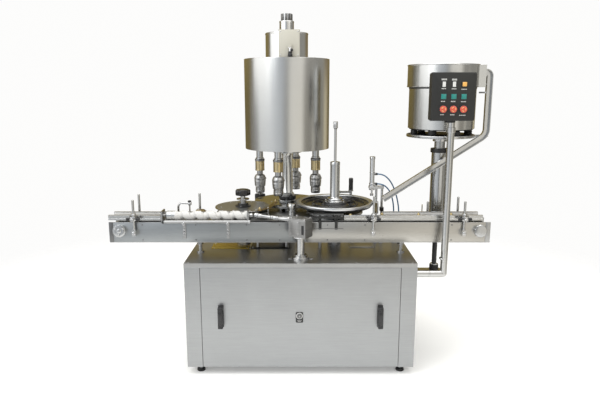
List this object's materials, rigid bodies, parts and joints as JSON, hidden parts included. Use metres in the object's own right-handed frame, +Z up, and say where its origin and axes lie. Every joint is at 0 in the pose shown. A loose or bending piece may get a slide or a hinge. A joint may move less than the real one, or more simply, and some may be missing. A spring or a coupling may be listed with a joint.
{
  "type": "rotary capping machine",
  "caption": "Rotary bottle capping machine: timing screw and star wheels feed a turret of capping heads under a cam drum, with cap dial, bowl feeder and conveyor.",
  "frame": {"origin": "on the floor, at the centre of the machine's footprint", "axes": "+X along the conveyor in the bottles' direction, +Y from the operator's side to the back, +Z up"},
  "size_m": [2.14, 0.98, 1.992],
  "materials": {
    "stainless": "satin",
    "dark_stainless": "satin",
    "chrome": "polished",
    "black_plastic": "matte",
    "white_plastic": "matte",
    "cream_paint": "matte",
    "black_paint": "satin",
    "grey_paint": "satin",
    "red_plastic": "gloss",
    "teal_plastic": "gloss",
    "blue_hose": "gloss",
    "rubber": "matte",
    "aluminium": "satin",
    "steel_gear": "machined"
  },
  "bodies": {
    "machine_base": {"cabinet": "stainless", "worktop": "stainless", "levelling_feet": "rubber", "conveyor_frame": "stainless", "conveyor_chain": "dark_stainless", "conveyor_bearings": "dark_stainless", "guide_posts": "stainless", "black_guide_rail": "black_paint", "screw_tray": "aluminium", "gearbox_post": "stainless", "angle_gearbox": "aluminium", "center_column": "stainless", "cam_drum": "stainless", "drum_top": "stainless", "junction_box": "cream_paint", "feeder_column": "stainless", "control_post": "stainless", "air_cylinder": "stainless", "reducer": "grey_paint", "drive_motor": "grey_paint", "air_hose_upper": "blue_hose", "air_hose_lower": "blue_hose"},
    "cover": {"front_cover": "stainless", "front_handles": "black_plastic"},
    "lock": {"front_lock": "chrome"},
    "drive_roller": {"drive_roller": "steel_gear"},
    "idler_roller": {"idler_roller": "steel_gear"},
    "left_guide": {"left_guide_rail": "aluminium"},
    "right_guide": {"right_guide_rail": "white_plastic"},
    "timing_screw": {"timing_screw": "white_plastic"},
    "cardan": {"cardan_shaft": "chrome"},
    "infeed_star": {"infeed_star": "stainless"},
    "hand_knob": {"hand_knob": "black_plastic"},
    "outfeed_star": {"outfeed_star": "stainless", "cap_dial": "chrome"},
    "adjuster": {"adjuster_rod": "chrome"},
    "lever": {"guard_lever": "black_plastic"},
    "turret": {"turret_rotor": "steel_gear"},
    "feeder": {"feeder_mast": "stainless", "chute": "stainless"},
    "bowl": {"bowl": "stainless"},
    "panel": {"control_panel": "black_paint"},
    "gate_rod": {"cylinder_rod": "chrome"},
    "pinion": {"drive_pinion": "steel_gear"},
    "spindle_b": {"spindle_b": "stainless"},
    "chuck_b": {"chuck_b": "stainless"},
    "spindle_d": {"spindle_d": "stainless"},
    "chuck_d": {"chuck_d": "stainless"},
    "spindle_c": {"spindle_c": "stainless"},
    "chuck_c": {"chuck_c": "stainless"},
    "spindle_a": {"spindle_a": "stainless"},
    "chuck_a": {"chuck_a": "stainless"},
    "push_button_1": {"push_button_1": "teal_plastic"},
    "push_button_2": {"push_button_2": "teal_plastic"},
    "push_button_3": {"push_button_3": "teal_plastic"},
    "stop_button_1": {"stop_button_1": "red_plastic"},
    "stop_button_2": {"stop_button_2": "red_plastic"},
    "stop_button_3": {"stop_button_3": "red_plastic"},
    "rocker_1": {"rocker_switch_1": "white_plastic"},
    "rocker_2": {"rocker_switch_2": "white_plastic"}
  },
  "joints": [
    {"name": "turret_spin", "type": "hinge", "parent": "machine_base", "child": "turret", "pos_m": [-0.082, 0.15, 0], "axis": [0, 0, 1], "continuous": true},
    {"name": "infeed_spin", "type": "hinge", "parent": "machine_base", "child": "infeed_star", "pos_m": [-0.34, -0.06996, 0], "axis": [0, 0, 1], "continuous": true},
    {"name": "outfeed_spin", "type": "hinge", "parent": "machine_base", "child": "outfeed_star", "pos_m": [0.203, -0.05685, 0], "axis": [0, 0, 1], "continuous": true},
    {"name": "pinion_spin", "type": "hinge", "parent": "machine_base", "child": "pinion", "pos_m": [0.03291, 0.34903, 0], "axis": [0, 0, 1], "continuous": true},
    {"name": "screw_spin", "type": "hinge", "parent": "machine_base", "child": "timing_screw", "pos_m": [0, -0.26, 0.863], "axis": [1, 0, 0], "continuous": true},
    {"name": "cardan_spin", "type": "hinge", "parent": "machine_base", "child": "cardan", "pos_m": [-0.251, -0.26, 0.863], "axis": [0.9722, -0.2252, -0.0637], "continuous": true},
    {"name": "drive_roller_spin", "type": "hinge", "parent": "machine_base", "child": "drive_roller", "pos_m": [0.999, -0.227, 0.783], "axis": [0, 1, 0], "continuous": true},
    {"name": "idler_roller_spin", "type": "hinge", "parent": "machine_base", "child": "idler_roller", "pos_m": [-1.007, -0.227, 0.783], "axis": [0, 1, 0], "continuous": true},
    {"name": "head_lift_b", "type": "slide", "parent": "turret", "child": "spindle_b", "axis": [0, 0, 1], "range_m": [0, 0.03]},
    {"name": "chuck_spin_b", "type": "hinge", "parent": "spindle_b", "child": "chuck_b", "pos_m": [-0.13247, -0.02486, 0], "axis": [0, 0, 1], "continuous": true},
    {"name": "head_lift_d", "type": "slide", "parent": "turret", "child": "spindle_d", "axis": [0, 0, 1], "range_m": [0, 0.03]},
    {"name": "chuck_spin_d", "type": "hinge", "parent": "spindle_d", "child": "chuck_d", "pos_m": [0.09286, 0.09953, 0], "axis": [0, 0, 1], "continuous": true},
    {"name": "head_lift_c", "type": "slide", "parent": "turret", "child": "spindle_c", "axis": [0, 0, 1], "range_m": [0, 0.03]},
    {"name": "chuck_spin_c", "type": "hinge", "parent": "spindle_c", "child": "chuck_c", "pos_m": [-0.03153, 0.32486, 0], "axis": [0, 0, 1], "continuous": true},
    {"name": "head_lift_a", "type": "slide", "parent": "turret", "child": "spindle_a", "axis": [0, 0, 1], "range_m": [0, 0.03]},
    {"name": "chuck_spin_a", "type": "hinge", "parent": "spindle_a", "child": "chuck_a", "pos_m": [-0.25686, 0.20047, 0], "axis": [0, 0, 1], "continuous": true},
    {"name": "knob_turn", "type": "hinge", "parent": "infeed_star", "child": "hand_knob", "pos_m": [-0.34, -0.06996, 0], "axis": [0, 0, 1], "range_deg": [0, 180]},
    {"name": "adjuster_slide", "type": "slide", "parent": "outfeed_star", "child": "adjuster", "axis": [0, 0, 1], "range_m": [-0.08, 0.06]},
    {"name": "lever_swing", "type": "hinge", "parent": "machine_base", "child": "lever", "pos_m": [0.318, 0.16, 0], "axis": [0, 0, 1], "range_deg": [-45, 45]},
    {"name": "cover_lift_off", "type": "slide", "parent": "machine_base", "child": "cover", "axis": [0, -1, 0], "range_m": [0, 0.2]},
    {"name": "lock_turn", "type": "hinge", "parent": "cover", "child": "lock", "pos_m": [-0.006, -0.45, 0.34844], "axis": [0, 1, 0], "range_deg": [0, 90]},
    {"name": "left_guide_height", "type": "slide", "parent": "machine_base", "child": "left_guide", "axis": [0, 0, 1], "range_m": [0, 0.05]},
    {"name": "right_guide_height", "type": "slide", "parent": "machine_base", "child": "right_guide", "axis": [0, 0, 1], "range_m": [0, 0.006]},
    {"name": "feeder_height", "type": "slide", "parent": "machine_base", "child": "feeder", "axis": [0, 0, 1], "range_m": [0, 0.08]},
    {"name": "bowl_vibration", "type": "hinge", "parent": "feeder", "child": "bowl", "pos_m": [0.812, -0.05, 0], "axis": [0, 0, 1], "range_deg": [-0.3, 0.3], "stiffness_Nm_per_rad": 60000},
    {"name": "panel_swivel", "type": "hinge", "parent": "machine_base", "child": "panel", "pos_m": [0.792, -0.345, 0], "axis": [0, 0, 1], "range_deg": [-30, 30]},
    {"name": "gate_stroke", "type": "slide", "parent": "machine_base", "child": "gate_rod", "axis": [0, 0, -1], "range_m": [0, 0.015]},
    {"name": "push_button_press_1", "type": "slide", "parent": "panel", "child": "push_button_1", "axis": [0, 1, 0], "range_m": [0, 0.004], "stiffness_N_per_m": 800},
    {"name": "push_button_press_2", "type": "slide", "parent": "panel", "child": "push_button_2", "axis": [0, 1, 0], "range_m": [0, 0.004], "stiffness_N_per_m": 800},
    {"name": "push_button_press_3", "type": "slide", "parent": "panel", "child": "push_button_3", "axis": [0, 1, 0], "range_m": [0, 0.004], "stiffness_N_per_m": 800},
    {"name": "stop_button_press_1", "type": "slide", "parent": "panel", "child": "stop_button_1", "axis": [0, 1, 0], "range_m": [0, 0.005]},
    {"name": "stop_button_press_2", "type": "slide", "parent": "panel", "child": "stop_button_2", "axis": [0, 1, 0], "range_m": [0, 0.005]},
    {"name": "stop_button_press_3", "type": "slide", "parent": "panel", "child": "stop_button_3", "axis": [0, 1, 0], "range_m": [0, 0.005]},
    {"name": "rocker_tilt_1", "type": "hinge", "parent": "panel", "child": "rocker_1", "pos_m": [0.732, -0.39, 1.579], "axis": [1, 0, 0], "range_deg": [-8, 8]},
    {"name": "rocker_tilt_2", "type": "hinge", "parent": "panel", "child": "rocker_2", "pos_m": [0.784, -0.39, 1.579], "axis": [1, 0, 0], "range_deg": [-8, 8]}
  ],
  "couplings": [
    {"joint": "infeed_spin", "follows": "turret_spin", "ratio": -1},
    {"joint": "outfeed_spin", "follows": "turret_spin", "ratio": -1},
    {"joint": "pinion_spin", "follows": "turret_spin", "ratio": -2.8253},
    {"joint": "screw_spin", "follows": "turret_spin", "ratio": 4},
    {"joint": "cardan_spin", "follows": "turret_spin", "ratio": 4},
    {"joint": "drive_roller_spin", "follows": "turret_spin", "ratio": -3},
    {"joint": "idler_roller_spin", "follows": "turret_spin", "ratio": -3},
    {"joint": "chuck_spin_a", "follows": "turret_spin", "ratio": -4},
    {"joint": "chuck_spin_b", "follows": "turret_spin", "ratio": -4},
    {"joint": "chuck_spin_c", "follows": "turret_spin", "ratio": -4},
    {"joint": "chuck_spin_d", "follows": "turret_spin", "ratio": -4}
  ]
}
